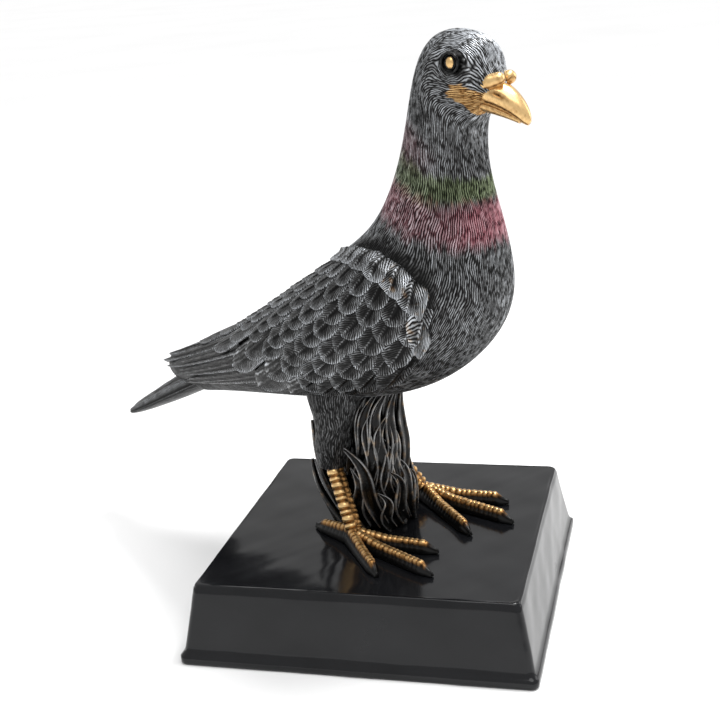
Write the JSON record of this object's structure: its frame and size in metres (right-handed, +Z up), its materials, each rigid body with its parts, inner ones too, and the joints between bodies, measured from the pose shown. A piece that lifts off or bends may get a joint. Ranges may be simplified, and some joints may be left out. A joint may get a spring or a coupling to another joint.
{
  "type": "pigeon statuette",
  "caption": "Standing pigeon figurine with folded scalloped wings and a grass clump between its ringed legs, on a low square plinth.",
  "frame": {"origin": "middle of the flat underside of the plinth", "axes": "+Z up, -Y out of the plinth's front side; the plinth's four sides run along X and Y and the bird faces +X, turned 26 degrees towards -Y"},
  "size_m": [0.2102, 0.1429, 0.2294],
  "materials": {
    "pigeon": "satin charcoal paint, silver-grey dry brush on the relief, green and rose neck bands, gold beak and legs",
    "plinth": "gloss black lacquer"
  },
  "bodies": {
    "root": {"pigeon": "pigeon", "plinth": "plinth"}
  },
  "joints": []
}
